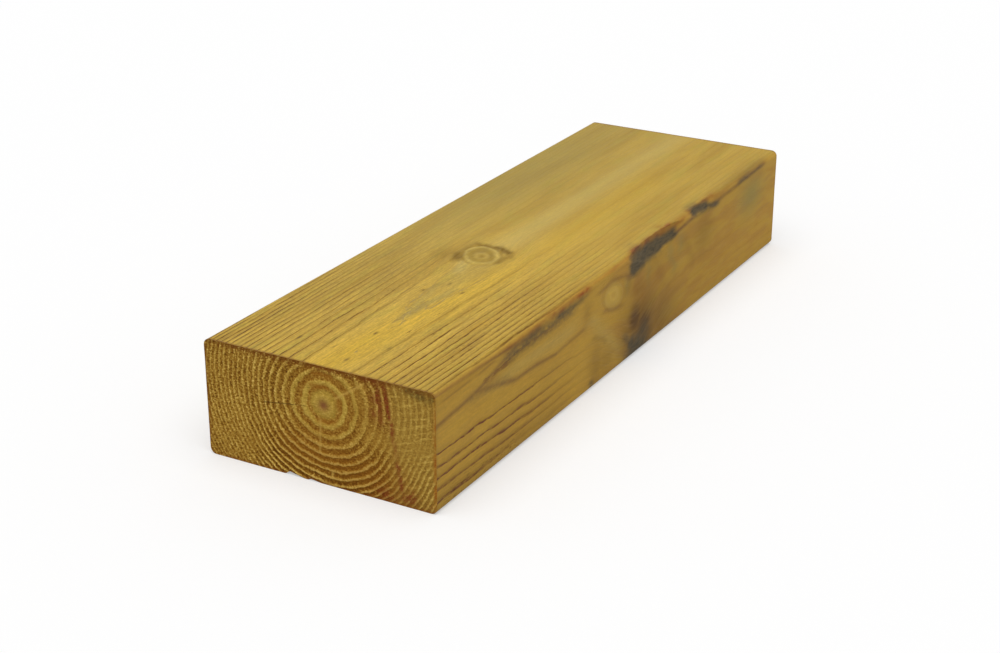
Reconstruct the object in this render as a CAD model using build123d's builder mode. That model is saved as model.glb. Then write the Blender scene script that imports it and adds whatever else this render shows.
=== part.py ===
from build123d import *
import os

# Wooden batten: one short piece of planed softwood with eased arrises and sawn ends.
# It lies on its broad face, with its length along X, its width along Y and its thickness along Z.
# The origin is at the middle of the lower face. Lengths are in millimetres.

# Section of the stock, and the length that it was cut to
length = 300.0
width = 95.0
thickness = 45.0
arris_radius = 2.5

# Wane on the upper arris of the -Y side, where the round outside of the log dipped below the planed
# size. Each hollow is a flat that leans across the arris and fades out along it.
large_wane_length = 52.0
large_wane_drop = 8.0  # height of the flat on the side face
large_wane_run = 2.4  # width of the flat on the upper face
large_wane_place_share = 0.07  # middle of the hollow, from the middle of the batten
small_wane_length = 30.0
small_wane_drop = 4.0
small_wane_run = 2.2
small_wane_place_share = 0.225
wane_overrun = 2.0

# Splinters torn off the lower edge of the -X end as the saw came through
large_tear_width = 8.5
large_tear_height = 1.3
large_tear_depth = 14.0  # how far the splinter ran along the grain
large_tear_place_share = 0.155  # of the width, from the middle to the outer corner of the tear
small_tear_width = 5.5
small_tear_height = 0.6
small_tear_depth = 8.0
small_tear_place_share = 0.055
tear_peak_share = 0.22  # of a tear's width, from its outer corner to its highest point

end_x = -length / 2
side_y = -width / 2

wanes = (
    (large_wane_length, large_wane_drop, large_wane_run, large_wane_place_share),
    (small_wane_length, small_wane_drop, small_wane_run, small_wane_place_share),
)
tears = (
    (large_tear_width, large_tear_height, large_tear_depth, large_tear_place_share),
    (small_tear_width, small_tear_height, small_tear_depth, small_tear_place_share),
)

with BuildPart() as batten:
    # Planed stock, with its four long arrises eased
    with BuildSketch(Plane.YZ.offset(end_x)):
        with Locations((0, thickness / 2)):
            RectangleRounded(width, thickness, arris_radius)
    extrude(amount=length)

    # Wane: each hollow is cut by a drum whose axis lies in the leaning flat's direction
    for wane_length, wane_drop, wane_run, place_share in wanes:
        flat = Vector(0, wane_run, wane_drop)
        outward = Vector(0, -wane_drop, wane_run).normalized()
        flat_middle = Vector(place_share * length, side_y + wane_run / 2, thickness - wane_drop / 2)
        arris_centre = Vector(0, side_y + arris_radius, thickness - arris_radius)
        wane_depth = (arris_centre - flat_middle).dot(outward) + arris_radius
        drum_radius = (wane_length**2 / 4 + wane_depth**2) / (2 * wane_depth)
        drum_centre = flat_middle + outward * drum_radius
        with BuildSketch(Plane(origin=drum_centre, x_dir=(1, 0, 0), z_dir=flat)):
            Circle(drum_radius)
        extrude(amount=flat.length / 2 + wane_overrun, both=True, mode=Mode.SUBTRACT)

    # Torn splinters: each is a three-sided sliver that runs out to a point along the grain
    for tear_width, tear_height, tear_depth, place_share in tears:
        outer_y = place_share * width
        peak_y = outer_y - tear_peak_share * tear_width
        with BuildSketch(Plane.YZ.offset(end_x), mode=Mode.PRIVATE) as mouth:
            with BuildLine():
                Polyline((outer_y, 0), (peak_y, tear_height), (outer_y - tear_width, 0), close=True)
            make_face()
        tip = Vertex(end_x + tear_depth, peak_y, 0)
        loft([mouth.sketch.face(), tip], mode=Mode.SUBTRACT)

batten.part.label = "batten"

os.makedirs("parts", exist_ok=True)
export_step(batten.part, "parts/batten.step")
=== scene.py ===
import math

import bmesh
import bpy
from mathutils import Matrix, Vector


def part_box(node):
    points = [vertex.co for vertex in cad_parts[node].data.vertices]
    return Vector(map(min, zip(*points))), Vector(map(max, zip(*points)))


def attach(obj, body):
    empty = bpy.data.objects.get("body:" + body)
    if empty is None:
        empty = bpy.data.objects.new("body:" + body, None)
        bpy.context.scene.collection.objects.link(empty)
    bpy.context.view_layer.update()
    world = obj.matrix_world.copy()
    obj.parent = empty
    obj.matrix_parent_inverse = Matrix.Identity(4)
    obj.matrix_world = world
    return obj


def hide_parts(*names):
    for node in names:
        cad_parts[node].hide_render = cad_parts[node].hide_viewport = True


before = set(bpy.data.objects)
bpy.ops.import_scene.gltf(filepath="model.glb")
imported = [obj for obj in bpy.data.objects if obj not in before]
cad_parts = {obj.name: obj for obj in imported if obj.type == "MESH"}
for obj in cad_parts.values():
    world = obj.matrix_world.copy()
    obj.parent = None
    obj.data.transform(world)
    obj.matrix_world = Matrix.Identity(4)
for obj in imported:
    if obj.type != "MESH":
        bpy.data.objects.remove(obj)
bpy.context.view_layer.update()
battenLow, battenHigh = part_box("batten")
mm = 0.001
lowMm, highMm = battenLow / mm, battenHigh / mm
print("frame loaded")


def srgb(colour):    # a colour as read off a screen, made linear
    shares = [channel / 255 for channel in colour]
    linear = [share / 12.92 if share < 0.04045 else ((share + 0.055) / 1.055) ** 2.4 for share in shares]
    return (*linear, 1.0)


# small helpers that add one node, in the tree that its values come from, and return its output
def plug(value, socket):
    if isinstance(value, bpy.types.NodeSocket):
        socket.id_data.links.new(value, socket)
    else:
        socket.default_value = value


def addNode(kind, *values, **settings):
    tree = next(value.id_data for value in values if isinstance(value, bpy.types.NodeSocket))
    node = tree.nodes.new(kind)
    for setting, choice in settings.items():
        setattr(node, setting, choice)
    for value, socket in zip(values, node.inputs):
        plug(value, socket)
    return node


def calc(operation, *values):
    return addNode("ShaderNodeMath", *values, operation=operation).outputs["Value"]


def plus(first, second):
    return calc("ADD", first, second)


def minus(first, second):
    return calc("SUBTRACT", first, second)


def times(first, second):
    return calc("MULTIPLY", first, second)


def timesPlus(first, second, third):
    return calc("MULTIPLY_ADD", first, second, third)


def over(first, second):
    return calc("DIVIDE", first, second)


def larger(first, second):
    return calc("MAXIMUM", first, second)


def less(mask, share):    # 1, less a share of the mask
    return timesPlus(mask, -share, 1.0)


def centred(pattern):    # from 0 to 1, made -0.5 to 0.5
    return minus(pattern, 0.5)


def calcVector(operation, *values):
    node = addNode("ShaderNodeVectorMath", *values, operation=operation)
    return node.outputs["Value" if operation in ("LENGTH", "DOT_PRODUCT") else "Vector"]


def between(start, end):    # the vector from one place to another
    return calcVector("SUBTRACT", end, start)


def onto(vector, direction):
    return calcVector("DOT_PRODUCT", vector, direction)


def scaled(vector, factor):
    unused = (0, 0, 0)
    node = addNode("ShaderNodeVectorMath", vector, unused, unused, factor, operation="SCALE")
    return node.outputs["Vector"]


def parts(vector):
    return addNode("ShaderNodeSeparateXYZ", vector).outputs[:3]


def joined(x, y, z):
    return addNode("ShaderNodeCombineXYZ", x, y, z).outputs[0]


def step(value, low, high, outLow=0.0, outHigh=1.0):    # smooth step from low to high
    ends = (low, high, outLow, outHigh)
    return addNode("ShaderNodeMapRange", value, *ends, interpolation_type="SMOOTHSTEP").outputs[0]


def noise(place, sizes, detail=2.0, roughness=0.5, output="Fac"):    # sizes of the pattern in mm
    node = addNode("ShaderNodeTexNoise", calcVector("DIVIDE", place, sizes), noise_dimensions="3D")
    for socketName, value in (("Scale", 1.0), ("Detail", detail), ("Roughness", roughness)):
        node.inputs[socketName].default_value = value
    return node.outputs[output]


def blend(share, first, second):    # linear colours
    node = addNode("ShaderNodeMix", share, data_type="RGBA")
    plug(first, node.inputs[6])
    plug(second, node.inputs[7])
    return node.outputs[2]


def tint(share, colour, screenColour):    # lays a screen colour over another
    return blend(share, colour, srgb(screenColour))


def shades(value, stops):    # a ramp of screen colours
    node = addNode("ShaderNodeValToRGB", value)
    elements = node.color_ramp.elements
    while len(elements) < len(stops):
        elements.new(0.5)
    for element, (place, colour) in zip(elements, stops):
        element.position = place
        element.color = srgb(colour)
    return node.outputs["Color"]


# soft marks, in mm, which fade out past their reach
def spot(at, reach, amount=1.0):
    return {"at": at, "reach": reach, "amount": amount}


def streak(at, to, reach, amount=1.0):
    return {"at": at, "to": to, "reach": reach, "amount": amount}


def mark(place, soft):    # how strong a mark is at a place
    reach = Vector(soft["reach"])
    away = calcVector("DIVIDE", between(soft["at"], place), reach)
    if "to" in soft:
        run = Vector([(end - start) / wide for start, end, wide in zip(soft["at"], soft["to"], reach)])
        share = over(onto(away, run), run.length_squared)
        share = calc("MINIMUM", larger(share, 0.0), 1.0)
        away = between(scaled(run, share), away)
    fade = calc("EXPONENT", times(onto(away, away), -1.0))
    return times(fade, soft["amount"])


def marks(place, softMarks):    # the strongest of several
    total = 0.0
    for soft in softMarks:
        total = larger(mark(place, soft), total)
    return total


def newGroup(name, kind, inputs, outputs):
    tree = bpy.data.node_groups.new(name, kind)
    for socketName in inputs:
        tree.interface.new_socket(socketName, in_out="INPUT", socket_type="NodeSocketVector")
    for socketName in outputs:
        tree.interface.new_socket(socketName, in_out="OUTPUT", socket_type="NodeSocketFloat")
    return tree, tree.nodes.new("NodeGroupInput").outputs


def closeGroup(tree, results):
    end = tree.nodes.new("NodeGroupOutput")
    for socketName, value in results.items():
        plug(value, end.inputs[socketName])
    return tree


def useGroup(tree, group, **inputs):
    node = tree.nodes.new("ShaderNodeGroup" if tree.bl_idname == "ShaderNodeTree" else "GeometryNodeGroup")
    node.node_tree = group
    for socketName, value in inputs.items():
        plug(value, node.inputs[socketName])
    return node.outputs


# how the tree grew, in mm
# rings are counted from the pith, so that one count gives the end grain and the long faces
growth = {
    "nearEnd": -150.0,
    "pith": (-2.5, 30.3),            # y and z at the near end
    "pithDrift": (0.010, 0.004),     # per mm of length
    "eccentric": (-0.06, 0.05),      # rings are wider on this side
    "taper": 0.006,
    "rings": (0.47, 0.145, 0.004),   # count at the pith, per mm and per mm squared
    "wobble": 0.6, "wobbleSizes": (120.0, 26.0, 26.0),
    "jitter": 0.36, "jitterPattern": ((20.0, 4.5, 4.5), 3.0, 0.6),
    "lineIn": (-0.62, -0.06), "lineOut": (0.04, 0.2),    # where the dark of a year's end comes and goes
    "haloIn": (-1.984, -0.06),                           # and its softer shade
    "bandIn": (-0.48, -0.10), "bandOut": (0.0, 0.13),    # the same in shares of a year, for the end grain
    "edgeLines": 1.0,                # lines are this much wider on the narrow faces
    "flattest": 0.05,                # least slope that a face cuts the rings at
    "swells": [                      # where the wood grew thicker, in rings
        spot((-30, 3, 45), (54, 22, 25), 0.6),
        spot((-90, -26, 46), (160, 15, 12), 0.5),
        spot((-16, -47, 32), (34, 22, 16), 0.5),
        spot((6, -47, 2), (30, 18, 18)),
        spot((-150, -47, 33), (34, 14, 13), -0.36),
        spot((-150, -47.5, 9), (150, 16, 14.5), -1.1),
        spot((-150, -47.5, 14), (42, 12, 5.5), -0.28),
        spot((-150, 15.5, 27), (90, 10, 12), 0.42),
        spot((-150, 18, 9), (60, 6.5, 7), 0.4),
        spot((-150, -3, 6), (60, 9, 7), -0.2),
    ],
    "knots": [                       # a branch from the pith to where it leaves the face, longer one way
        {"name": "TopKnot", "start": (-30.5, 1.0, 31), "leaves": (-32.3, 3.0, 45),
         "long": (0.82, 0.57, 0.0), "stretch": 1.42, "ringWidth": 3.4, "firstRing": 0.35,
         "reach": 8.1, "merge": 0.6, "uneven": 1.3},
        {"name": "SideKnot", "start": (-15, -20, 33), "leaves": (-18, -47.5, 33),
         "long": (0.95, 0.0, -0.31), "stretch": 1.6, "ringWidth": 2.2, "firstRing": 0.3,
         "reach": 6.6, "merge": 1.6, "uneven": 1.0},
    ],
    "knotUneven": (6.0, 6.0, 6.0),
    "knotShut": 8.0,                 # how sharply a knot ends past its reach
}
knotNames = [knot["name"] for knot in growth["knots"]]


def growRings(name, kind):
    outputs = ["Ring", "Year", "Line", "Halo", "Band", *knotNames]
    tree, inputs = newGroup(name, kind, ["Place", "Facing"], outputs)
    place, facing = inputs["Place"], inputs["Facing"]
    along, across, up = parts(place)
    fromEnd = minus(along, growth["nearEnd"])
    pithY, pithZ = [timesPlus(fromEnd, drift, at) for drift, at in zip(growth["pithDrift"], growth["pith"])]
    fromPith = joined(0.0, minus(across, pithY), minus(up, pithZ))
    radius = minus(calcVector("LENGTH", fromPith), onto(fromPith, (0.0, *growth["eccentric"])))
    radius = minus(radius, times(fromEnd, growth["taper"]))
    wobble = centred(noise(place, growth["wobbleSizes"], 1.0))
    radius = larger(timesPlus(wobble, 2 * growth["wobble"], radius), 0.0)
    firstCount, perMm, perMm2 = growth["rings"]
    ring = timesPlus(timesPlus(radius, perMm2, perMm), radius, firstCount)
    for swell in growth["swells"]:
        ring = minus(ring, mark(place, swell))
    results = {}
    uneven = centred(noise(place, growth["knotUneven"], 1.0))
    for knot in growth["knots"]:
        axis = (Vector(knot["leaves"]) - Vector(knot["start"])).normalized()
        fromStart = between(knot["start"], place)
        onAxis = scaled(axis, larger(onto(fromStart, axis), 0.0))
        offAxis = between(onAxis, fromStart)
        onLong = scaled(knot["long"], times(onto(offAxis, knot["long"]), 1 - 1 / knot["stretch"]))
        offAxis = calcVector("LENGTH", between(onLong, offAxis))
        offAxis = timesPlus(uneven, 2 * knot["uneven"], offAxis)
        share = over(larger(offAxis, 0.0), knot["reach"])
        knotRing = plus(over(offAxis, knot["ringWidth"]), knot["firstRing"])
        knotRing = plus(knotRing, calc("POWER", share, growth["knotShut"]))
        ring = calc("SMOOTH_MIN", ring, knotRing, knot["merge"])
        results[knot["name"]] = share    # 0 in the middle of the knot and 1 at its edge
    jitter = centred(noise(place, *growth["jitterPattern"]))
    ring = timesPlus(jitter, 2 * growth["jitter"], ring)
    year = calc("ROUND", ring)
    offRing = minus(ring, year)    # -0.5 to 0.5, and 0 at the end of a year
    # a face that lies along the rings would smear their lines, so their width is kept in mm on the face
    slant = calcVector("LENGTH", calcVector("CROSS_PRODUCT", calcVector("NORMALIZE", fromPith), facing))
    perMmHere = timesPlus(radius, 2 * perMm2, perMm)
    offLine = over(offRing, times(perMmHere, plus(slant, growth["flattest"])))
    onEdge = calc("ABSOLUTE", parts(facing)[1])
    offLine = over(offLine, timesPlus(onEdge, growth["edgeLines"], 1.0))
    lateEdge = step(offLine, *growth["lineOut"], 1.0, 0.0)
    yearNoise = tree.nodes.new("ShaderNodeTexWhiteNoise")
    yearNoise.noise_dimensions = "1D"
    plug(year, yearNoise.inputs["W"])
    results["Ring"] = ring
    results["Year"] = yearNoise.outputs["Value"]    # a chance number for each year
    results["Line"] = times(step(offLine, *growth["lineIn"]), lateEdge)
    results["Halo"] = times(step(offLine, *growth["haloIn"]), lateEdge)
    results["Band"] = times(step(offRing, *growth["bandIn"]), step(offRing, *growth["bandOut"], 1.0, 0.0))
    return closeGroup(tree, results)


ringShader = growRings("growthRings", "ShaderNodeTree")
ringShape = growRings("growthRelief", "GeometryNodeTree")
print("growth rings worked out")

# the block: a cube cut into cells, fine across the grain, and finer along it where the knots are
block = {
    "cellsAlong": [(-150, -45, 35), (-45, 45, 80), (45, 150, 30)],    # from, to, cells
    "cellsAcross": (2, 75),     # two rounds of cuts
    "cellsUp": (1, 72),
    "shortest": 1e-5,           # an edge shorter than this, in m, doesn't run along an axis
    "arris": 2.5,
    "wanes": [                  # flats on the upper arris of the -Y side
        {"at": 21.0, "long": 52.0, "drop": 8.0, "run": 2.4},
        {"at": 67.5, "long": 30.0, "drop": 4.0, "run": 2.2},
    ],
    "waneRough": 0.6, "waneRoughPattern": ((9.0, 2.2, 2.2), 3.0), "waneRoughFrom": (0.0, 0.3),
    "tears": [                  # splinters off the lower edge of the near end
        {"outer": 14.7, "peak": 12.9, "inner": 6.2, "high": 1.3, "deep": 14.0},
        {"outer": 5.2, "peak": 4.0, "inner": -0.3, "high": 0.6, "deep": 8.0},
    ],
    "tearFade": 7.0,            # height over which the end's cells close up above a tear
    "endFacing": 0.7,           # a cell that faces along the grain by more than this is sawn
    "smoothAngle": 40.0,
}


def cutEdges(mesh, axis, cells, low=-math.inf, high=math.inf):    # cuts the edges along an axis
    bm = bmesh.from_edit_mesh(mesh)
    for edge in bm.edges:
        ends = [vert.co[axis] for vert in edge.verts]
        middle = sum(ends) / 2
        edge.select_set(abs(ends[0] - ends[1]) > block["shortest"] and low < middle < high)
    bmesh.update_edit_mesh(mesh)
    bpy.ops.mesh.subdivide(number_cuts=cells - 1)


def cutBlock():
    bpy.ops.object.select_all(action="DESELECT")
    size = battenHigh - battenLow
    bpy.ops.mesh.primitive_cube_add(size=1, location=(battenLow + battenHigh) / 2, scale=size)
    bpy.ops.object.transform_apply(location=True, rotation=True, scale=True)
    piece = bpy.context.object
    piece.name = piece.data.name = "sawnBatten"
    bpy.ops.object.mode_set(mode="EDIT")
    for span in block["cellsAlong"][1:]:
        bpy.ops.mesh.select_all(action="SELECT")
        bpy.ops.mesh.bisect(plane_co=(span[0] * mm, 0, 0), plane_no=(1, 0, 0))
    bpy.ops.mesh.select_mode(type="EDGE")
    for low, high, cells in block["cellsAlong"]:
        bpy.ops.mesh.select_all(action="DESELECT")
        cutEdges(piece.data, 0, cells, low * mm, high * mm)
    for axis, rounds in ((1, block["cellsAcross"]), (2, block["cellsUp"])):
        for cells in rounds:
            if cells > 1:
                bpy.ops.mesh.select_all(action="DESELECT")
                cutEdges(piece.data, axis, cells)
    bpy.ops.mesh.select_mode(type="VERT")
    bpy.ops.mesh.select_all(action="SELECT")
    bpy.ops.mesh.normals_make_consistent(inside=False)
    bpy.ops.object.mode_set(mode="OBJECT")
    return piece


batten = cutBlock()
print("block cut into", len(batten.data.polygons), "cells")


def newShape(name):    # a geometry node tree for a modifier
    tree = bpy.data.node_groups.new(name, "GeometryNodeTree")
    for side in ("INPUT", "OUTPUT"):
        tree.interface.new_socket("Geometry", in_out=side, socket_type="NodeSocketGeometry")
    start = tree.nodes.new("NodeGroupInput").outputs[0]
    place = scaled(tree.nodes.new("GeometryNodeInputPosition").outputs[0], 1 / mm)
    return tree, start, place


def applyShape(piece, tree, geometry, place):    # moves the points and applies the modifier
    inBox = calcVector("MINIMUM", calcVector("MAXIMUM", place, lowMm), highMm)
    move = tree.nodes.new("GeometryNodeSetPosition")
    plug(geometry, move.inputs["Geometry"])
    plug(scaled(inBox, mm), move.inputs["Position"])
    plug(move.outputs[0], tree.nodes.new("NodeGroupOutput").inputs[0])
    modifier = piece.modifiers.new(tree.name, "NODES")
    modifier.node_group = tree
    bpy.ops.object.select_all(action="DESELECT")
    piece.select_set(True)
    bpy.context.view_layer.objects.active = piece
    bpy.ops.object.modifier_apply(modifier=modifier.name)


def easeArrises(piece):    # rounds the long arrises, keeping a plain grid on the ends
    tree, geometry, place = newShape("easedArrises")
    inset = Vector((0, block["arris"], block["arris"]))
    inner = calcVector("MINIMUM", calcVector("MAXIMUM", place, lowMm + inset), highMm - inset)
    away = between(inner, place)
    across, up = parts(away)[1:]
    reach = larger(calc("ABSOLUTE", across), calc("ABSOLUTE", up))
    rounded = calcVector("ADD", inner, scaled(calcVector("NORMALIZE", away), reach))
    applyShape(piece, tree, geometry, rounded)


def cutWanes(piece):    # each flat is the side of a wide drum laid across the arris
    tree, geometry, place = newShape("waneFlats")
    sideY, topZ, arris = lowMm.y, highMm.z, block["arris"]
    rough = times(noise(place, *block["waneRoughPattern"]), block["waneRough"])
    for wane in block["wanes"]:
        outward = Vector((0, -wane["drop"], wane["run"])).normalized()
        middle = Vector((wane["at"], sideY + wane["run"] / 2, topZ - wane["drop"] / 2))
        arrisMiddle = Vector((wane["at"], sideY + arris, topZ - arris))
        depth = (arrisMiddle - middle).dot(outward) + arris
        radius = (wane["long"] ** 2 / 4 + depth ** 2) / (2 * depth)
        fromMiddle = between(middle, place)
        beside = onto(fromMiddle, (1.0, 0.0, 0.0))
        chord = minus(radius ** 2, times(beside, beside))
        floorHeight = minus(radius, calc("SQRT", larger(chord, 0.0)))
        proud = larger(minus(onto(fromMiddle, outward), floorHeight), 0.0)
        proud = timesPlus(step(proud, *block["waneRoughFrom"]), rough, proud)
        place = between(scaled(outward, proud), place)
    applyShape(piece, tree, geometry, place)


def tearSplinters(piece):    # lifts the lower face where splinters broke away
    tree, geometry, place = newShape("tornSplinters")
    along, across, up = parts(place)
    fromEnd = minus(along, growth["nearEnd"])
    lift = 0.0
    for tear in block["tears"]:
        share = minus(1.0, over(fromEnd, tear["deep"]))    # 1 at the end
        offPeak = minus(across, tear["peak"])
        outerSlope = over(offPeak, tear["outer"] - tear["peak"])
        innerSlope = over(offPeak, tear["inner"] - tear["peak"])
        height = times(minus(share, larger(outerSlope, innerSlope)), tear["high"])
        lift = larger(lift, height)
    low = minus(1.0, over(up, block["tearFade"]))
    up = timesPlus(larger(low, 0.0), lift, up)
    applyShape(piece, tree, geometry, joined(along, across, up))


easeArrises(batten)
cutWanes(batten)
tearSplinters(batten)
print("arrises, wane and torn edge shaped")

# relief in mm: all of it goes inwards, so the batten keeps its size
relief = {
    "faceWaves": 0.12, "waveSizes": (60.0, 9.0, 9.0),
    "knotHollow": 0.2, "knotEdge": (1.1, 0.9),
    "knotRings": [(0.30, 0.17), (0.76, 0.16)],    # middle and half width, as shares of the knot
    "endRing": 0.16, "endFacing": (0.75, 0.95),
    "endFuzz": 0.2, "fuzzSizes": (2.0, 1.8, 1.4),
}


def knotRidges(share):    # the two raised rings of a knot
    ridges = 0.0
    for middle, width in relief["knotRings"]:
        away = calc("ABSOLUTE", minus(share, middle))
        ridges = larger(step(away, width, 0.0), ridges)
    return ridges


def carveGrain(piece):
    tree, geometry, place = newShape("grainRelief")
    normal = tree.nodes.new("GeometryNodeInputNormal").outputs[0]
    rings = useGroup(tree, ringShape, Place=place, Facing=normal)
    onEnd = step(calc("ABSOLUTE", parts(normal)[0]), *relief["endFacing"])
    faceDepth = times(noise(place, relief["waveSizes"], 1.0), relief["faceWaves"])
    for name in knotNames:
        inKnot = step(rings[name], *relief["knotEdge"])
        hollow = minus(1.0, knotRidges(rings[name]))
        faceDepth = timesPlus(times(inKnot, hollow), relief["knotHollow"], faceDepth)
    endDepth = times(minus(1.0, rings["Band"]), relief["endRing"])
    endDepth = timesPlus(noise(place, relief["fuzzSizes"]), relief["endFuzz"], endDepth)
    depth = timesPlus(minus(endDepth, faceDepth), onEnd, faceDepth)
    applyShape(piece, tree, geometry, between(scaled(normal, depth), place))


carveGrain(batten)
print("grain carved")

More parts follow.
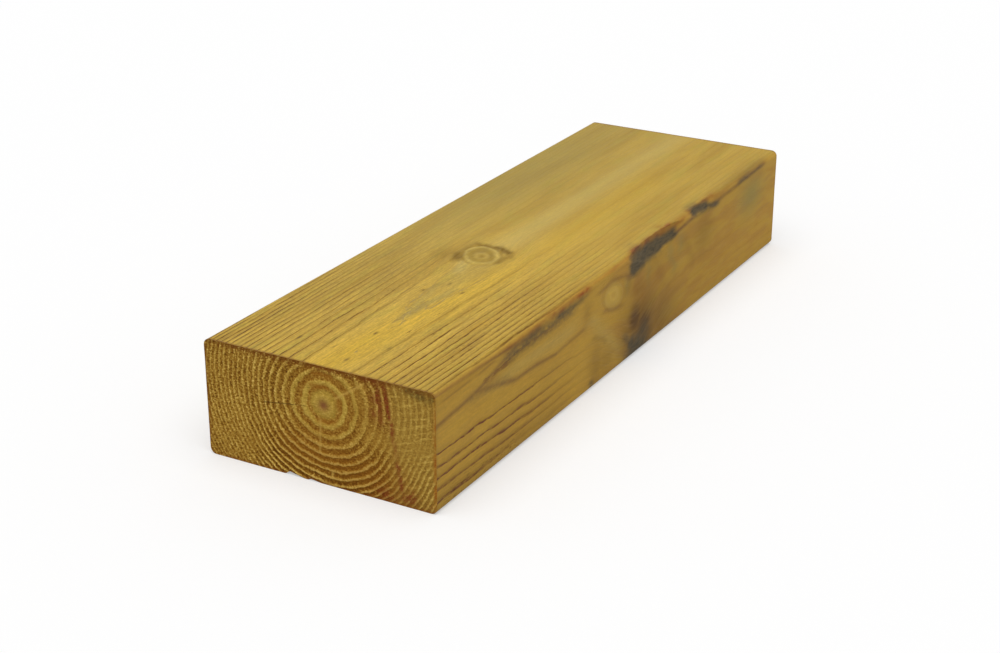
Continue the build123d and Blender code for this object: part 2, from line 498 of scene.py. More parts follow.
# marks on the long faces
stains = {
    "warp": (3.0, 1.0, 1.0), "warpPattern": ((14.0, 4.0, 4.0), 3.0),
    "streakWarp": 0.3,    # lines are warped by this share
    "Bark": [      # grey-black of the wane and of the loose knot below it
        streak((0.5, -47, 38.8), (8, -46.8, 40.4), (4.8, 6.0, 4.8)),
        streak((8, -46.8, 40.6), (24, -46.6, 40.2), (6.0, 6.0, 3.6)),
        streak((24, -46.6, 40.2), (37, -46.6, 41.0), (5.0, 6.0, 2.5), 0.95),
        streak((60, -46.4, 43.2), (70, -46.6, 42.3), (5.0, 5.0, 2.3), 0.95),
        streak((67, -46.8, 42.4), (80, -47.3, 40.8), (5.0, 5.0, 1.9), 0.75),
        streak((108, -47.2, 42.6), (130, -46.9, 43.3), (6.0, 4.0, 1.3), 0.5),
        spot((5, -47.5, 2), (11.0, 8.0, 7.0)),
        spot((0, -47.5, 6), (5.0, 6.0, 4.5), 0.85),
        spot((11, -47.5, 7), (7.0, 6.0, 6.0), 0.6),
        streak((-7, -47.5, 11), (-1, -47.5, 6), (3.5, 4.0, 2.6), 0.5),
        streak((-62, -47.5, 41.0), (-46, -47.5, 41.0), (6.0, 3.0, 1.7), 0.55),
        spot((-36, -47.5, 2.5), (2.5, 3.0, 2.5), 0.6),
        streak((-88, -47.4, 41.2), (-76, -47.4, 41.2), (4.0, 3.0, 1.5), 0.42),
    ],
    "Brown": [
        spot((-32, -47.5, 9), (7, 4, 11), 0.42),
        spot((-24, -47.5, 8), (11, 4, 8), 0.36),
        streak((-33, -47.5, 21), (-25, -47.5, 16), (3, 4, 1.5), 0.35),
        spot((8, -47.5, 10), (19, 6, 15), 0.9),
        spot((3, -47.5, 16), (9, 6, 8), 1.1),
        spot((11, -47.5, 12), (10, 6, 8), 1.05),
        spot((-6, -47.5, 11), (4, 6, 4), 0.7),
        spot((25, -47.5, 8), (18, 6, 13), 0.6),
        spot((5, -47.5, 27), (10, 6, 7), 0.42),
        spot((-4, -47.5, 31), (4, 4, 6), 0.3),
        spot((69, -47.5, 32), (10, 4, 10), 0.32),
        spot((15, -47.5, 32), (12, 4, 5), 0.24),
        streak((4, -46, 43.2), (38, -46, 42.6), (5, 2, 1.6), 0.6),
        streak((84, -46.4, 44.0), (132, -46.0, 44.6), (8, 2.4, 1.9), 0.34),
        streak((20, -47.5, 34), (30, -47.5, 20), (5, 4, 3), 0.22),
        streak((50, -47.5, 34), (58, -47.5, 22), (4, 4, 3), 0.18),
        spot((-40, -47.5, 34), (4, 4, 5), 0.3),
        streak((-145, -47.5, 4), (-70, -47.5, 2), (10, 3, 6), 0.22),
        spot((-65, 22, 45), (16, 6, 3), 0.2),
    ],
    "Umber": [     # round the knot, and bands along the near half
        streak((-38.8, 10.0, 45), (-34.8, 12.3, 45), (3.6, 2.6, 3), 0.9),
        spot((-38, 17, 45), (7, 7, 3), 0.35),
        streak((-34, 13.2, 45), (-24, 12.4, 45), (2.4, 1.6, 3), 0.4),
        streak((-22.0, 11, 45), (-21.4, 2, 45), (1.9, 2.0, 3), 0.65),
        streak((-21.6, 2, 45), (-24.4, -5, 45), (2.1, 2.0, 3), 0.95),
        streak((-24.6, -5.6, 45), (-29, -7.4, 45), (2.2, 1.7, 3), 0.55),
        streak((-30, -6.6, 45), (-36, -6.2, 45), (2.6, 1.8, 3), 0.6),
        streak((-150, 5.6, 45), (-92, 8.4, 45), (8, 0.8, 3), 0.3),
        streak((-150, -14.4, 45), (-40, -16.8, 45), (8, 0.7, 3), 0.24),
        streak((-150, -44, 45), (-50, -44, 45), (30, 8, 4), 0.17),
        streak((-90, 32, 45), (-50, 32, 45), (20, 14, 4), 0.12),
    ],
    "Red": [       # lips of the torn arris and of the wane
        streak((-100, -46.9, 42.9), (-70, -46.9, 42.8), (5, 1.4, 0.9), 0.6),
        streak((-68, -46.9, 42.8), (-40, -46.9, 43.2), (5, 1.7, 1.3)),
        streak((-40, -46.8, 43.3), (2, -46.2, 44.2), (5, 1.2, 0.7), 0.45),
        spot((5, -47.5, 28), (8, 4, 6), 0.24),
        spot((24, -47.5, 28), (5, 4, 3), 0.16),
        streak((2, -45.8, 44.2), (36, -45.6, 44.0), (4, 1.4, 1.7)),
        spot((32, -43.2, 45), (3, 2.2, 1.4), 0.4),
        streak((38, -46, 43.4), (56, -46, 43.8), (4, 1.8, 1.5), 0.6),
        streak((54, -45.6, 44.6), (80, -45.4, 44.4), (4, 1.3, 1.3), 0.6),
    ],
    "Grey": [
        streak((-96, -3.2, 45), (-72, -5.6, 45), (7, 1.9, 3), 0.62),
        streak((-92, -2.0, 45), (-70, 1.5, 45), (7, 1.7, 3), 0.48),
        streak((-62, -3, 45), (-45, -3, 45), (10, 7, 3), 0.35),
        spot((121, -47.5, 33), (14, 4, 9), 0.8),
        streak((34, -47.5, 35), (39, -47.5, 26), (3, 3, 3), 0.4),
        spot((45, -47.5, 34.5), (4, 3, 5), 0.5),
        spot((14, -47.5, 31), (2, 3, 6), 0.35),
        spot((-6, -47.5, 33), (3, 3, 4), 0.4),
        spot((70, 36, 45), (140, 22, 6), 0.58),
    ],
    "Pale": [
        streak((-36, -47.5, 29), (-13, -47.5, 9), (5, 4, 2.6), 0.3),
        streak((-98, -47.5, 33), (-60, -47.5, 32), (14, 4, 3.2), 0.35),
        streak((-12, 0, 45), (140, 1, 45), (18, 7, 4), 0.55),
        streak((-50, 2.5, 45), (-40, 6.0, 45), (5, 2.2, 3), 0.6),
    ],
    "Honey": [
        streak((-145, -3, 45), (-60, -12, 45), (30, 7, 5), 0.7),
        streak((0, -16, 45), (70, -14, 45), (20, 8, 5), 0.4),
    ],
    "Hatch": [     # torn arris
        streak((-100, -47.5, 39.4), (-54, -47.5, 39.8), (5, 3, 2.6), 0.8),
        streak((-126, -47.5, 33.4), (-104, -47.5, 32.0), (4, 3, 2.0), 0.35),
    ],
    "Streaks": [   # lines where the face runs along the rings, and round the knot
        streak((-150, -47.5, 32.9), (-136, -47.5, 33.8), (3, 3, 1.0), 0.6),
        streak((-136, -47.5, 33.8), (-122, -47.5, 35.2), (3, 3, 0.9), 0.6),
        streak((-122, -47.5, 35.2), (-110, -47.5, 38.0), (3, 3, 0.9), 0.55),
        streak((-110, -47.5, 38.0), (-96, -47.5, 41.0), (3, 3, 0.9), 0.55),
        streak((-96, -47.5, 41.4), (-80, -47.5, 41.6), (4, 3, 1.2), 0.6),
        streak((-122, -47.5, 34.8), (-106, -47.5, 31.2), (3, 3, 1.2), 0.45),
        streak((-106, -47.5, 31.2), (-96, -47.5, 28.7), (3, 3, 1.0), 0.58),
        streak((-96, -47.5, 28.7), (-80, -47.5, 28.3), (3, 3, 0.9), 0.58),
        streak((-80, -47.5, 28.3), (-66, -47.5, 26.7), (3, 3, 0.9), 0.58),
        streak((-66, -47.5, 26.7), (-44, -47.5, 28.0), (3, 3, 0.9), 0.4),
        streak((-143, -47.5, 40.6), (-130, -47.5, 41.0), (4, 3, 0.5), 0.35),
        streak((-120, -47.5, 40.8), (-112, -47.5, 41.6), (3, 3, 0.5), 0.35),
        streak((-150, -47.2, 43.8), (-120, -47.2, 43.2), (4, 1.5, 0.7), 0.5),
        streak((-120, -47.2, 43.2), (-96, -47.2, 42.2), (4, 1.5, 0.7), 0.55),
        streak((-29, -47.5, 38.5), (-18, -47.5, 39.4), (4, 3, 0.9), 0.35),
        streak((-18, -47.5, 39.4), (-8, -47.5, 38.0), (4, 3, 1.0), 0.4),
        streak((-8, -47.5, 38.0), (-3, -47.5, 35.4), (3, 3, 1.1), 0.45),
        streak((-24, -47.5, 29.0), (-11, -47.5, 26.2), (4, 3, 1.1), 0.35),
        streak((39, -47.3, 40.6), (56, -47.3, 41.8), (4, 3, 1.0), 0.65),
        streak((80, -47.4, 41.4), (104, -47.3, 42.2), (4, 3, 1.0), 0.5),
        streak((104, -47.3, 42.2), (134, -47.0, 43.4), (4, 3, 0.9), 0.5),
    ],
    "Scuffs": [    # short dark dashes
        streak((-116, -12.4, 45), (-88, -13.2, 45), (6, 1.2, 3)),
        streak((-150, -20.6, 45), (-66, -21.2, 45), (8, 1.0, 3)),
        streak((-132, -37, 45), (-60, -35, 45), (12, 6, 3), 0.6),
        streak((-110, 8.2, 45), (-90, 8.8, 45), (6, 1.4, 3), 0.9),
        streak((-90, 13.6, 45), (-82, 14.4, 45), (4, 1.0, 3), 0.9),
        streak((-140, -47.5, 4), (-100, -47.5, 4), (10, 3, 4), 0.8),
    ],
    "Specks": [
        spot((-133, 18.5, 45), (1.6, 0.6, 1)),
        spot((-117, -2.8, 45), (1.4, 0.6, 1)),
        spot((-141, -6.6, 45), (1.4, 0.7, 1), 0.8),
        spot((-69.5, -10.3, 45), (1.3, 0.6, 1), 0.8),
        spot((-74, 4, 45), (1.2, 0.5, 1), 0.8),
        spot((-134, 3.3, 45), (1.6, 0.5, 1), 0.5),
        spot((-64, -1.5, 45), (1.4, 0.6, 1), 0.6),
        spot((-126, -14.2, 45), (1.6, 0.5, 1), 0.6),
    ],
}
stainNames = ["Bark", "Brown", "Umber", "Red", "Grey", "Pale", "Honey"]
wearNames = ["Hatch", "Scuffs", "Specks"]    # these aren't warped


def makeStains():
    outputs = [*stainNames, "Streaks", *wearNames]
    tree, inputs = newGroup("weatherStains", "ShaderNodeTree", ["Place"], outputs)
    place = inputs["Place"]
    drift = between((0.5, 0.5, 0.5), noise(place, *stains["warpPattern"], output="Color"))
    drift = calcVector("MULTIPLY", drift, tuple(2 * size for size in stains["warp"]))
    warped = calcVector("ADD", place, drift)
    results = {name: marks(warped, stains[name]) for name in stainNames}
    warped = calcVector("ADD", place, scaled(drift, stains["streakWarp"]))
    results["Streaks"] = marks(warped, stains["Streaks"])
    for name in wearNames:
        results[name] = marks(place, stains[name])
    return closeGroup(tree, results)


stainShader = makeStains()

grain = {
    "bend": spot((2, -47.5, 6), (26, 14, 20), 14.0),    # the grain dips 14 mm towards the loose knot
    "parts": [                                          # and parts round the sound ones
        spot((-32.3, 3.0, 45), (15, 10, 8), 0.85),
        spot((-18, -47.5, 33), (13, 8, 7), 0.85),
    ],
    "patterns": {    # sizes in mm, detail and roughness
        "Fibre": ((14.0, 0.55, 0.55), 3.0, 0.6),
        "Dash": ((3.6, 0.7, 0.7), 2.0, 0.6),
        "Grit": ((1.1, 0.75, 0.75), 1.0),
        "Gap": ((22.0, 1.7, 1.7), 2.0, 0.6),       # in year lines
        "Drift": ((70.0, 9.0, 9.0), 3.0),
        "Tint": ((22.0, 5.0, 5.0), 2.0),
        "Cloud": ((9.0, 3.5, 3.5), 2.0, 0.55),     # ragged edges of stains
    },
    "torn": ((2.0, 2.0, 1.6), 2.0, 0.65),          # torn grain, which doesn't bend
}


def makeFibre():    # patterns that run along the grain
    tree, inputs = newGroup("fibreStreaks", "ShaderNodeTree", ["Place"], [*grain["patterns"], "Torn"])
    straight = inputs["Place"]
    place = calcVector("ADD", straight, joined(0.0, 0.0, mark(straight, grain["bend"])))
    for knot in grain["parts"]:
        away = calcVector("MULTIPLY", between(knot["at"], straight), (0.0, 1.0, 1.0))
        place = between(scaled(away, mark(straight, knot)), place)
    results = {name: noise(place, *pattern) for name, pattern in grain["patterns"].items()}
    results["Torn"] = noise(straight, *grain["torn"])
    return closeGroup(tree, results)


fibreShader = makeFibre()
print("stains and fibres made")


def newFinish(name):
    material = bpy.data.materials.new(name)
    material.use_nodes = True
    tree = material.node_tree
    coordinates = tree.nodes.new("ShaderNodeTexCoord").outputs
    place = scaled(coordinates["Object"], 1 / mm)
    return material, tree, place, coordinates["Normal"]


def setSurface(tree, finish, colour, roughness, height):
    surface = tree.nodes["Principled BSDF"]
    plug(colour, surface.inputs["Base Color"])
    plug(roughness, surface.inputs["Roughness"])
    surface.inputs["Specular IOR Level"].default_value = finish["specular"]
    bump = tree.nodes.new("ShaderNodeBump")
    bump.inputs["Strength"].default_value = finish["bumpStrength"]
    bump.inputs["Distance"].default_value = finish["bumpDepth"] * mm
    plug(height, bump.inputs["Height"])
    plug(bump.outputs[0], surface.inputs["Normal"])


# the planed faces: colours are as on a screen
# a mask is given by where it starts and ends, in mm or in its pattern, and then by its first and last share
planed = {
    "clear": (198, 163, 70), "deep": (182, 146, 58), "green": (184, 160, 66),
    "edgeTint": (206, 160, 62), "blush": (186, 128, 58),    # on the narrow faces
    "Honey": (210, 171, 58), "Pale": (201, 176, 100), "Grey": (160, 142, 77),
    "Brown": (106, 75, 34), "Umber": (116, 87, 16), "Red": (150, 80, 32),
    "Bark": (102, 88, 61), "barkDeep": (78, 68, 49),
    "line": (92, 58, 6), "greyLine": (156, 138, 88), "edgeLine": (114, 62, 40), "halo": (160, 120, 36),
    "hatch": (113, 96, 60), "streak": (112, 70, 50), "speck": (84, 60, 28), "rim": (120, 78, 30),
    "edgeFacing": (0.35, 0.9), "edgeShare": 0.75,
    "deepMask": (0.35, 0.7), "greenMask": (0.45, 0.75, 0.0, 0.6), "greenLess": 0.7,
    "blushMask": (0.42, 0.62, 0.0, 0.4), "blushAlong": (-60, 10, 0.4, 1.0),
    "lineAlong": (-165, 0, 1.2, 0.12), "edgeLineAlong": (-108, -34, 1.0, 0.06),
    "waneyLines": (-18, -34), "waneyShift": -32.0,    # lines by the waney arris run on further
    "innerRings": (3.7, 3.3), "innerAlong": (-75, -20, 0.65, 0.0), "greyRings": (3.1, 4.0),
    "lineBreaks": (0.36, 0.56, 0.45, 1.06), "lineDashes": (0.36, 0.54, 0.35, 1.0),
    "yearShare": (0.3, 0.7), "haloShare": 0.45,
    "lineGaps": [    # where year lines are lost
        streak((-150, -47.5, 34), (-118, -47.5, 33.2), (12, 4, 4.4)),
        streak((-118, -47.5, 32), (-36, -47.5, 28.5), (12, 4, 4.8)),
        spot((-88, -47.5, 3.6), (34, 4, 2.4), 0.85),
        streak((-150, 47.5, 33.5), (-80, 47.5, 32), (16, 4, 7), 0.95),
    ],
    "knotGap": spot((-42, -1.5, 45), (5, 5, 4), 0.75),    # where the top knot's outline is lost
    "knotClear": (0.9, 1.2), "knotMask": (1.15, 0.85, 0.0, 0.85),
    "TopKnot": [    # colours from its middle out
        (0.0, (128, 100, 34)), (0.10, (144, 116, 44)), (0.30, (176, 148, 70)), (0.48, (150, 122, 46)),
        (0.62, (154, 127, 50)), (0.79, (200, 172, 88)), (0.95, (156, 126, 46)), (1.05, (168, 136, 52)),
    ],
    "SideKnot": [
        (0.0, (206, 164, 78)), (0.22, (218, 180, 84)), (0.55, (212, 174, 80)), (0.92, (190, 148, 64)),
        (1.1, (194, 151, 62)),
    ],
    "frayed": (0.3, 0.7, 0.85, 1.05), "ragged": (0.36, 0.58, 0.4, 1.0),
    "streakDashes": (0.3, 0.6, 0.65, 1.05), "hatchTorn": (0.3, 0.7, 0.4, 1.0),
    "barkCloud": 0.6, "barkFibre": (0.12, -0.36), "barkEdge": (0.02, 0.25), "barkFull": (0.0, 0.9),
    "barkDashes": (0.35, 0.7), "scuffDashes": (0.55, 0.68, 0.0, 0.75), "speckShare": 0.85,
    "fibreTone": (0.28, 0.72, 0.84, 1.13), "dashTone": (0.3, 0.7, 0.92, 1.08),
    "gritTone": (0.3, 0.7, 0.94, 1.06), "toneAlong": (-90, 20, 1.2, 0.36), "toneLess": 0.6,
    # painted shade: the far half is laid darker, a little less so towards the far end of the narrow faces
    "farShade": (-50, 60, 1.0, 0.88), "farEdgeShade": (60, 130, 0.91, 0.99),
    "rimMask": (0.2, 1.5, 0.8, 0.0), "rimDashes": (0.3, 0.6, 0.5, 1.0), "rimLess": 0.7,
    "roughness": (0.3, 0.7, 0.6, 0.75), "specular": 0.16,
    "lineSunk": -0.5, "bumpDepth": 0.15, "bumpStrength": 0.5,
}


def makePlanedFace():
    material, tree, place, facing = newFinish("planedFace")
    rings = useGroup(tree, ringShader, Place=place, Facing=facing)
    stain = useGroup(tree, stainShader, Place=place)
    fibre = useGroup(tree, fibreShader, Place=place)
    along, across = parts(place)[:2]
    onEdge = step(calc("ABSOLUTE", parts(facing)[1]), *planed["edgeFacing"])    # the narrow faces

    def mask(name, value):
        return step(value, *planed[name])

    # plain wood
    colour = blend(mask("deepMask", fibre["Drift"]), srgb(planed["clear"]), srgb(planed["deep"]))
    colour = tint(times(onEdge, planed["edgeShare"]), colour, planed["edgeTint"])
    green = times(mask("greenMask", fibre["Tint"]), less(onEdge, planed["greenLess"]))
    colour = tint(green, colour, planed["green"])
    blush = times(mask("blushMask", fibre["Tint"]), times(onEdge, mask("blushAlong", along)))
    colour = tint(blush, colour, planed["blush"])
    for name in ("Honey", "Pale", "Grey"):
        colour = tint(stain[name], colour, planed[name])
    # year lines, strong near the sawn end and faint towards the far one
    fade = mask("lineAlong", timesPlus(mask("waneyLines", across), planed["waneyShift"], along))
    innerLines = times(mask("innerRings", rings["Ring"]), mask("innerAlong", along))
    fade = larger(times(fade, mask("lineBreaks", fibre["Gap"])), innerLines)
    fade = timesPlus(minus(mask("edgeLineAlong", along), fade), onEdge, fade)
    strength = times(fade, timesPlus(rings["Year"], *planed["yearShare"]))
    for name in knotNames:
        strength = times(strength, mask("knotClear", rings[name]))
    strength = times(strength, minus(1.0, marks(place, planed["lineGaps"])))
    colour = tint(times(rings["Halo"], times(strength, planed["haloShare"])), colour, planed["halo"])
    lineColour = blend(onEdge, srgb(planed["line"]), srgb(planed["edgeLine"]))
    lineColour = blend(mask("greyRings", rings["Ring"]), srgb(planed["greyLine"]), lineColour)
    lineShare = times(times(rings["Line"], mask("lineDashes", fibre["Dash"])), strength)
    colour = blend(lineShare, colour, lineColour)
    # knots
    for name in knotNames:
        share = mask("knotMask", rings[name])
        if name == "TopKnot":
            share = times(share, minus(1.0, mark(place, planed["knotGap"])))
        colour = blend(share, colour, shades(rings[name], planed[name]))
    # stains over the grain
    frayed = mask("frayed", fibre["Fibre"])
    ragged = mask("ragged", fibre["Cloud"])
    for name, wear in (("Brown", frayed), ("Umber", frayed), ("Red", ragged)):
        colour = tint(times(stain[name], wear), colour, planed[name])
    colour = tint(times(stain["Streaks"], mask("streakDashes", fibre["Dash"])), colour, planed["streak"])
    colour = tint(times(stain["Hatch"], mask("hatchTorn", fibre["Torn"])), colour, planed["hatch"])
    edge = timesPlus(fibre["Cloud"], planed["barkCloud"], timesPlus(fibre["Fibre"], *planed["barkFibre"]))
    bark = mask("barkFull", timesPlus(edge, mask("barkEdge", stain["Bark"]), stain["Bark"]))
    barkColour = blend(mask("barkDashes", fibre["Dash"]), srgb(planed["Bark"]), srgb(planed["barkDeep"]))
    colour = blend(bark, colour, barkColour)
    colour = tint(times(stain["Scuffs"], mask("scuffDashes", fibre["Dash"])), colour, planed["line"])
    colour = tint(times(stain["Specks"], planed["speckShare"]), colour, planed["speck"])
    # fine fibres, painted shade that makes the far half a little darker, and a brown rim at the cut ends
    tone = times(mask("fibreTone", fibre["Fibre"]), mask("dashTone", fibre["Dash"]))
    tone = times(tone, mask("gritTone", fibre["Grit"]))
    toneShare = times(mask("toneAlong", along), less(onEdge, planed["toneLess"]))
    tone = timesPlus(minus(tone, 1.0), toneShare, 1.0)
    # painted shade, darker over the far half
    farShade = larger(mask("farShade", along), times(onEdge, mask("farEdgeShade", along)))
    colour = scaled(colour, times(tone, farShade))
    toEnd = minus(highMm.x, calc("ABSOLUTE", along))
    rim = times(mask("rimMask", toEnd), mask("rimDashes", fibre["Dash"]))
    colour = tint(times(rim, less(onEdge, planed["rimLess"])), colour, planed["rim"])
    height = timesPlus(rings["Line"], planed["lineSunk"], fibre["Fibre"])
    height = timesPlus(bark, fibre["Dash"], height)
    setSurface(tree, planed, colour, mask("roughness", fibre["Fibre"]), height)
    return material


def endMark(at, reach, amount, to=None, deep=20.0):    # on the near end, in y and z
    soft = spot((growth["nearEnd"], *at), (deep, *reach), amount)
    if to:
        soft["to"] = (growth["nearEnd"], *to)
    return soft


# the sawn ends: masks are given as for the planed faces, and patterns as for the grain
sawn = {
    "shades": [(0.0, (88, 52, 4)), (0.25, (134, 90, 20)), (0.5, (177, 132, 48)), (0.75, (210, 170, 76)),
               (1.0, (246, 208, 108))],
    "olive": (190, 162, 78), "heart": (204, 171, 69), "amber": (162, 102, 24), "red": (134, 51, 25),
    "pith": (146, 92, 52), "check": (74, 46, 12), "ray": (216, 174, 82), "rim": (126, 70, 16),
    "edge": (208, 146, 44), "corner": (96, 80, 34),
    "sawLevel": 5.0, "sawCurve": 0.0036,     # saw marks are level as far as this, and then bend upwards
    "sawPitch": 2.8, "sawWander": 8.0, "sawMask": (0.2, 0.95), "sawTone": 0.2,
    "tickPattern": ((3.0, 1.2, 0.62), 2.0, 0.6), "tornPattern": ((1.0, 0.75, 0.75), 3.0, 0.65),
    "driftPattern": ((20.0, 12.0, 12.0), 2.0), "wanderPattern": ((20.0, 9.0, 3.0), 1.0),
    "patchPattern": ((20.0, 4.5, 4.5), 2.0), "patchMask": (0.35, 0.6, 0.25, 1.0),
    "crumbPattern": ((1.3, 0.8, 0.68), 1.0), "glintMask": (0.6, 0.74), "pitMask": (0.4, 0.28),
    "rightMask": (-21.0, -29.0), "rightDrift": 8.0,    # smoother wood right of the red streak
    "heartMask": (4.5, 1.5), "pithMask": (2.7, 2.0),   # in rings
    "ringMask": (20.0, 8.0, 0.4, 0.8), "ringMiddle": 0.42, "ringLeft": (18.0, 36.0, 1.0, 0.72),
    "heartLess": 0.3, "rightLess": 0.4,
    "lowLeftLess": 0.6, "lowLeftAcross": (18.0, 32.0), "lowLeftUp": (20.0, 9.0),
    "rightCalm": 0.6, "calmLess": 0.7,
    "middleTone": 0.5, "tickTone": 1.0, "tornTone": 1.0, "driftTone": 0.3, "pithTone": 0.09,
    # glint and pit, with glintMask and pitMask, give the painted highlights and painted shade on the crumbs
    "leftTone": 0.03, "leftMask": (10.0, 25.0), "glint": 0.42, "pit": -0.34,
    "paleOffset": 0.13, "paleMask": (0.32, 0.14), "paleMiddle": (1.5, 1.2),    # pale rings of the heart
    "paleShare": 0.55, "darkShare": 0.3, "oliveShare": 0.22,
    "edgeMask": (0.4, 1.9, 0.85, 0.0), "markTicks": (0.35, 0.6, 0.35, 1.0),
    "rimUneven": 5.5, "rimTop": (0.4, 3.1, 0.85, 0.0), "rimLeft": (0.3, 2.0, 0.6, 0.0),
    "rimLow": (0.3, 1.6, 0.7, 0.0), "rimDrift": (0.3, 0.6, 0.5, 1.0),
    "roughness": 0.85, "specular": 0.12,
    "ringRaised": 0.4, "tickRaised": 0.8, "bumpDepth": 0.5, "bumpStrength": 0.5,
    "redMarks": [
        endMark((-27.0, 45), (1.15, 2.0), 0.95, to=(-29.0, 32.5)),
        endMark((-29.8, 29.8), (1.0, 1.2), 0.85, to=(-30.2, 25.5)),
        endMark((-30.4, 25), (1.0, 2.0), 0.7, to=(-32.0, 15)),
        endMark((-32.0, 15), (1.1, 2.0), 0.9, to=(-34.0, 4)),
        endMark((-23.2, 45), (2.8, 3.0), 0.95, to=(-24.6, 30)),
        endMark((-19.5, 44.6), (1.8, 1.4), 0.95, to=(-27.0, 44.6)),
        endMark((-45.0, 1.5), (3.0, 2.0), 1.0),
        endMark((-24.0, 2.5), (3.0, 3.0), 0.8, to=(-38.0, 3.5)),
        endMark((-8.5, 31.5), (1.2, 1.6), 0.25),
        endMark((-47.0, 4), (0.8, 2.0), 0.7, to=(-47.0, 38)),
    ],
    "rayMarks": [
        endMark((-7.5, 34.0), (0.42, 0.42), 0.75, to=(-19.0, 42.0)),
        endMark((-1.0, 24.5), (0.45, 0.45), 0.55, to=(-0.3, 12.5)),
        endMark((-5.3, 5.3), (0.5, 0.5), 0.8, to=(-5.0, 3.4)),
    ],
    "amberMarks": [
        endMark((6.0, 12.0), (12.0, 9.0), 0.5, to=(-26.0, 7.0), deep=40),
        endMark((2.0, 37.2), (1.6, 1.0), 0.6, to=(-3.0, 37.4)),
        endMark((1.0, 42.2), (2.0, 1.3), 0.55, to=(-5.0, 42.0)),
        endMark((-1.0, 24.0), (2.0, 1.5), 0.5, to=(-6.0, 24.6)),
        endMark((-8.6, 31.4), (1.3, 2.0), 0.5),
    ],
    "smearMarks": [    # smoothed by the saw
        endMark((-22.0, 23.0), (4.0, 5.0), 0.75, to=(-44.0, 24.0)),
        endMark((-17.0, 37.0), (5.0, 5.0), 0.55, to=(-20.0, 27.0)),
        endMark((29.0, 9.0), (4.0, 4.0), 0.6),
    ],
    "checkMarks": [
        endMark((5.0, 28.5), (0.18, 0.18), 0.4, to=(10.0, 27.8)),
        endMark((10.0, 27.8), (0.2, 0.2), 0.8, to=(22.5, 26.0)),
    ],
    "pithMarks": [
        endMark((-2.5, 30.3), (2.2, 2.2), 0.95, deep=40),
    ],
    "cornerMarks": [
        endMark((-38.0, 43.5), (3.4, 1.9), 1.0, to=(-46.5, 42.5)),
    ],
}


def makeSawnEnd():
    material, tree, place, facing = newFinish("sawnEnd")
    rings = useGroup(tree, ringShader, Place=place, Facing=facing)
    along, across, up = parts(place)

    def mask(name, value):
        return step(value, *sawn[name])

    # saw marks lie level on one side and rise on the other
    right = larger(minus(sawn["sawLevel"], across), 0.0)
    sawRow = minus(up, times(times(right, right), sawn["sawCurve"]))
    sawPlace = joined(along, across, sawRow)
    ticks = noise(sawPlace, *sawn["tickPattern"])
    crumbs = noise(sawPlace, *sawn["crumbPattern"])
    torn = noise(place, *sawn["tornPattern"])
    drift = noise(place, *sawn["driftPattern"])
    wander = noise(place, *sawn["wanderPattern"])
    patchy = mask("patchMask", noise(place, *sawn["patchPattern"]))
    sawTurn = timesPlus(sawRow, 2 * math.pi / sawn["sawPitch"], times(wander, sawn["sawWander"]))
    rightSide = mask("rightMask", timesPlus(drift, sawn["rightDrift"], across))
    sawLine = times(mask("sawMask", calc("SINE", sawTurn)), times(rightSide, patchy))
    # one tone from rings, saw marks and torn grain: faint rings by the pith, strong ones low down
    heart = mask("heartMask", rings["Ring"])
    lowLeft = times(mask("lowLeftAcross", across), mask("lowLeftUp", up))
    smear = marks(place, sawn["smearMarks"])
    contrast = times(mask("ringMask", up), less(heart, sawn["heartLess"]))
    contrast = times(contrast, less(rightSide, sawn["rightLess"]))
    contrast = times(contrast, less(lowLeft, sawn["lowLeftLess"]))
    contrast = times(times(contrast, mask("ringLeft", across)), minus(1.0, smear))
    tone = timesPlus(minus(rings["Band"], sawn["ringMiddle"]), contrast, sawn["middleTone"])
    loose = less(larger(times(rightSide, sawn["rightCalm"]), smear), sawn["calmLess"])
    rough = timesPlus(centred(torn), sawn["tornTone"], times(centred(ticks), sawn["tickTone"]))
    tone = timesPlus(rough, loose, tone)
    tone = timesPlus(centred(drift), sawn["driftTone"], tone)
    tone = timesPlus(sawLine, sawn["sawTone"], tone)
    tone = timesPlus(mask("leftMask", across), sawn["leftTone"], tone)
    tone = timesPlus(mask("pithMask", rings["Ring"]), sawn["pithTone"], tone)
    # painted highlights where loose fibres catch the light, and painted shade where torn pits lose it
    tone = timesPlus(times(mask("glintMask", crumbs), loose), sawn["glint"], tone)
    tone = timesPlus(times(mask("pitMask", crumbs), loose), sawn["pit"], tone)
    colour = shades(tone, sawn["shades"])
    # pale and amber rings round the pith
    offYear = minus(rings["Ring"], calc("ROUND", rings["Ring"]))
    paleRing = mask("paleMask", calc("ABSOLUTE", plus(offYear, sawn["paleOffset"])))
    paleRing = larger(paleRing, mask("paleMiddle", rings["Ring"]))
    colour = tint(times(heart, times(paleRing, sawn["paleShare"])), colour, sawn["heart"])
    colour = tint(times(heart, times(minus(1.0, paleRing), sawn["darkShare"])), colour, sawn["amber"])
    colour = tint(times(larger(sawLine, rightSide), sawn["oliveShare"]), colour, sawn["olive"])
    # an edge that is orange where the planed side shows through, and the marks
    edge = times(mask("edgeMask", minus(across, lowMm.y)), patchy)
    colour = tint(edge, colour, sawn["edge"])
    for name in ("amber", "pith", "ray", "red", "check", "corner"):
        share = marks(place, sawn[name + "Marks"])
        if name in ("red", "corner"):    # broken up by the saw
            share = times(share, times(mask("markTicks", ticks), patchy))
        colour = tint(share, colour, sawn[name])
    # stained edges
    toTop = plus(minus(highMm.z, up), times(centred(crumbs), sawn["rimUneven"]))
    rim = larger(mask("rimTop", toTop), mask("rimLeft", minus(highMm.y, across)))
    rim = larger(rim, mask("rimLow", up))
    colour = tint(times(rim, mask("rimDrift", drift)), colour, sawn["rim"])
    height = timesPlus(rings["Band"], sawn["ringRaised"], torn)
    height = timesPlus(ticks, sawn["tickRaised"], height)
    setSurface(tree, sawn, colour, sawn["roughness"], height)
    return material


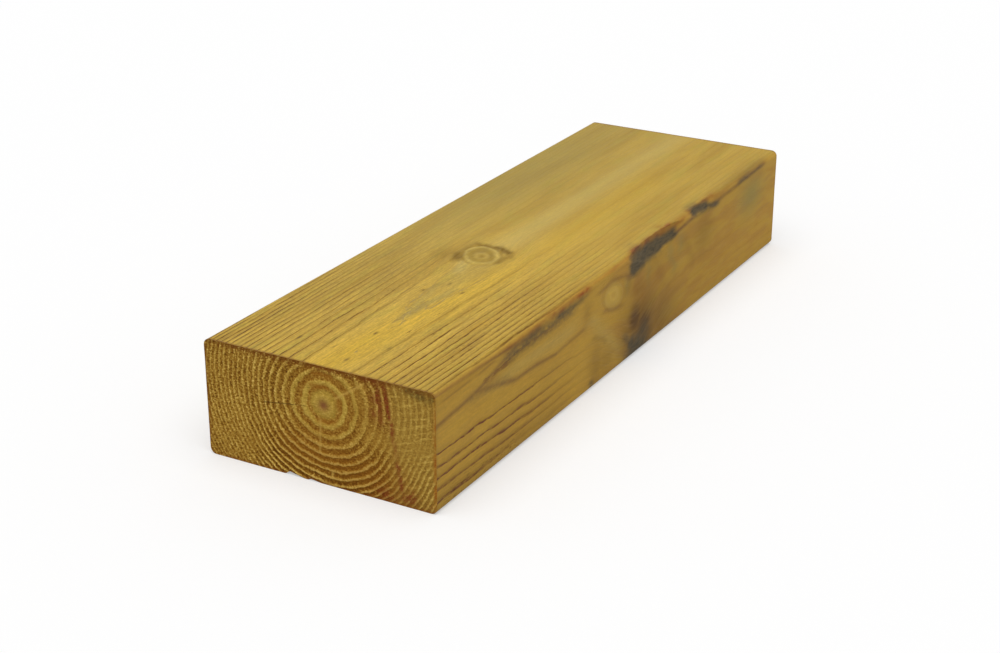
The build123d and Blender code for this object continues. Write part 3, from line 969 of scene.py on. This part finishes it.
batten.data.materials.append(makePlanedFace())
batten.data.materials.append(makeSawnEnd())
for polygon in batten.data.polygons:
    polygon.material_index = 1 if abs(polygon.normal.x) > block["endFacing"] else 0
bpy.ops.object.shade_smooth_by_angle(angle=math.radians(block["smoothAngle"]))
print("finishes made")

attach(batten, "root")
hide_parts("batten")


# studio: pale floor, soft light and the photograph's camera
studio = {
    "floorSide": 40.0,
    "floorShadow": 0.6,      # share of the seen floor that takes shadow
    "floorBounce": 0.45,
    "skyFill": 0.45,
    "lampFrom": (-0.26, -0.14, 1.0), "lampSpread": 70.0, "lampStrength": 1.78,
    "cameraFrom": (-0.616023, -0.334738, 0.301605),
    "azimuth": -60.556, "elevation": 23.031,
    "focalPixels": 1850.1, "imageWidth": 1000.0, "sensor": 36.0,
}


def grey(level):
    return (level, level, level, 1)


def seenShare(tree):    # 1 for what the camera, a reflection or a clear thing shows
    path = tree.nodes.new("ShaderNodeLightPath").outputs
    return larger(larger(path["Is Camera Ray"], path["Is Glossy Ray"]), path["Is Transmission Ray"])


def layFloor():
    bpy.ops.object.select_all(action="DESELECT")
    bpy.ops.mesh.primitive_plane_add(size=studio["floorSide"], location=(0, 0, battenLow.z))
    bpy.ops.object.transform_apply(location=True)
    floor = bpy.context.object
    floor.name = "studioFloor"
    material = bpy.data.materials.new("paleFloor")
    material.use_nodes = True
    tree = material.node_tree
    seen, shadow = seenShare(tree), studio["floorShadow"]
    surface = tree.nodes["Principled BSDF"]
    plug(blend(seen, grey(studio["floorBounce"]), grey(shadow)), surface.inputs["Base Color"])
    surface.inputs["Roughness"].default_value = 1.0
    surface.inputs["Specular IOR Level"].default_value = 0.0
    surface.inputs["Emission Color"].default_value = grey(1)
    plug(times(seen, 1.0 - shadow), surface.inputs["Emission Strength"])
    floor.data.materials.append(material)


def lightStudio():
    world = bpy.data.worlds.new("studioSky")
    bpy.context.scene.world = world
    world.use_nodes = True
    tree = world.node_tree
    colour = blend(seenShare(tree), grey(studio["skyFill"]), grey(1))
    plug(colour, tree.nodes["Background"].inputs["Color"])
    data = bpy.data.lights.new("softLamp", "SUN")
    data.energy = studio["lampStrength"]
    data.angle = math.radians(studio["lampSpread"])
    lamp = bpy.data.objects.new("softLamp", data)
    bpy.context.scene.collection.objects.link(lamp)
    lamp.rotation_euler = Vector(studio["lampFrom"]).to_track_quat("Z", "Y").to_euler()


def aimCamera():
    data = bpy.data.cameras.new("photoCamera")
    data.sensor_width = studio["sensor"]
    data.lens = studio["sensor"] * studio["focalPixels"] / studio["imageWidth"]
    camera = bpy.data.objects.new("photoCamera", data)
    bpy.context.scene.collection.objects.link(camera)
    azimuth, elevation = math.radians(studio["azimuth"]), math.radians(studio["elevation"])
    level = math.cos(elevation)
    back = Vector((math.sin(azimuth) * level, -math.cos(azimuth) * level, math.sin(elevation)))
    camera.location = studio["cameraFrom"]
    camera.rotation_euler = (-back).to_track_quat("-Z", "Y").to_euler()
    bpy.context.scene.camera = camera


layFloor()
lightStudio()
aimCamera()
bpy.context.scene.view_settings.view_transform = "Standard"
print("studio set")
